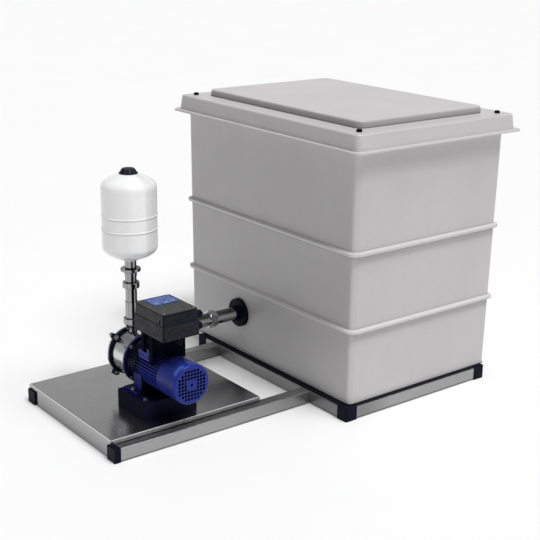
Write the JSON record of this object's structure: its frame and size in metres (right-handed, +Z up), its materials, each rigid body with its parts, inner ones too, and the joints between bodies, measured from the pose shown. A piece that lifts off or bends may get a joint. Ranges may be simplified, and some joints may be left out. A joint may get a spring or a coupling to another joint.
{
  "type": "booster pump set",
  "caption": "Packaged water booster set: lidded break tank on a square-tube frame, skid with tray, horizontal multistage pump with speed drive, riser and expansion vessel.",
  "frame": {"origin": "centre of the footprint's bounding box, at floor level", "axes": "+X along the set's length from the pump end towards the tank, +Y along the tank's long side towards the rear, +Z up"},
  "size_m": [1.3484, 0.9228, 0.887],
  "materials": {
    "steel_tube": "drawn square tube, light satin brushing",
    "stainless_sheet": "folded stainless sheet, cold rolled, slightly reflective",
    "black_nylon": "moulded nylon, satin with soft edges",
    "black_rubber": "matt rubber strip",
    "grey_board": "dark grey board",
    "tank_grey": "light grey glass-fibre moulding, satin gel coat",
    "bolt_steel": "bright zinc plated steel",
    "pipe_steel": "polished stainless pipe",
    "valve_brass": "turned brass",
    "float_plastic": "orange moulded float",
    "plinth_black": "black powder coat",
    "blue_paint": "blue enamel on cast metal",
    "fin_blue": "dark blue enamel on the motor's fins",
    "cover_blue": "blue enamel on pressed sheet",
    "lamination": "stacked steel laminations and winding",
    "bearing_steel": "ground steel",
    "shaft_steel": "ground stainless shaft",
    "pump_steel": "pressed stainless steel, fine circumferential brushing",
    "drive_black": "black textured casting",
    "board_green": "coated circuit board",
    "panel_blue": "printed membrane panel",
    "key_grey": "soft moulded key",
    "vessel_white": "white gloss powder coat",
    "bladder_rubber": "rubber bladder",
    "seal_carbon": "carbon and rubber seal"
  },
  "bodies": {
    "set": {"frame_tubes": "steel_tube", "skid_tubes": "steel_tube", "pump_tray": "stainless_sheet", "corner_connectors": "black_nylon", "rail_end_caps": "black_nylon", "tank_backnuts": "black_nylon", "overflow_connector": "black_nylon", "cable_glands": "black_nylon", "outlet_flange": "black_nylon", "rubber_strips": "black_rubber", "base_board": "grey_board", "tank_body": "tank_grey", "hex_screws": "bolt_steel", "tie_bolts": "bolt_steel", "casing_plugs": "bolt_steel", "cover_screws": "bolt_steel", "suction_pipes": "pipe_steel", "suction_elbow": "pipe_steel", "suction_union": "pipe_steel", "riser_pipes": "pipe_steel", "riser_nut": "pipe_steel", "vessel_connector": "pipe_steel", "check_valve_body": "pipe_steel", "float_valve_body": "valve_brass", "air_valve": "valve_brass", "pump_plinth": "plinth_black", "casing_clamp": "plinth_black", "motor_bracket": "blue_paint", "motor_foot": "blue_paint", "motor_housing": "fin_blue", "motor_end_shield": "fin_blue", "fan_cover": "cover_blue", "motor_stator": "lamination", "motor_bearings": "bearing_steel", "pump_casing": "pump_steel", "casing_end_cover": "pump_steel", "stage_diffusers": "pump_steel", "drive_base": "drive_black", "drive_cover": "drive_black", "terminal_pedestal": "drive_black", "drive_board": "board_green", "keypad_panel": "panel_blue", "vessel_shell_lower": "vessel_white", "vessel_shell_upper": "vessel_white", "vessel_bladder": "bladder_rubber"},
    "lid": {"tank_lid": "tank_grey", "lid_bolts": "bolt_steel", "lid_bolt_caps": "black_nylon"},
    "float_gear": {"float_arm": "valve_brass", "float_ball": "float_plastic"},
    "pump_rotor": {"pump_shaft": "shaft_steel", "motor_rotor": "lamination", "impellers": "pump_steel", "mechanical_seal": "seal_carbon", "cooling_fan": "black_nylon"},
    "poppet": {"check_valve_poppet": "valve_brass"},
    "valve_cap": {"vessel_cap": "black_nylon"},
    "run_key": {"key_run": "key_grey"},
    "minus_key": {"key_minus": "key_grey"},
    "plus_key": {"key_plus": "key_grey"}
  },
  "joints": [
    {"name": "rotor_spin", "type": "hinge", "parent": "set", "child": "pump_rotor", "pos_m": [-0.4362, 0, 0.184], "axis": [0, 1, 0], "continuous": true},
    {"name": "lid_lift", "type": "slide", "parent": "set", "child": "lid", "axis": [0, 0, 1], "range_m": [0, 0.3]},
    {"name": "float_swing", "type": "hinge", "parent": "set", "child": "float_gear", "pos_m": [0.3318, 0.37725, 0.756], "axis": [-1, 0, 0], "range_deg": [0, 45]},
    {"name": "poppet_lift", "type": "slide", "parent": "set", "child": "poppet", "axis": [0, 0, 1], "range_m": [0, 0.008], "stiffness_N_per_m": 300, "springref_m": -0.003},
    {"name": "cap_lift", "type": "slide", "parent": "set", "child": "valve_cap", "axis": [0, 0, 1], "range_m": [0, 0.04]},
    {"name": "run_press", "type": "slide", "parent": "set", "child": "run_key", "axis": [0, 0, -1], "range_m": [0, 0.0005], "stiffness_N_per_m": 1500, "springref_m": -0.0004},
    {"name": "minus_press", "type": "slide", "parent": "set", "child": "minus_key", "axis": [0, 0, -1], "range_m": [0, 0.0005], "stiffness_N_per_m": 1500, "springref_m": -0.0004},
    {"name": "plus_press", "type": "slide", "parent": "set", "child": "plus_key", "axis": [0, 0, -1], "range_m": [0, 0.0005], "stiffness_N_per_m": 1500, "springref_m": -0.0004}
  ]
}
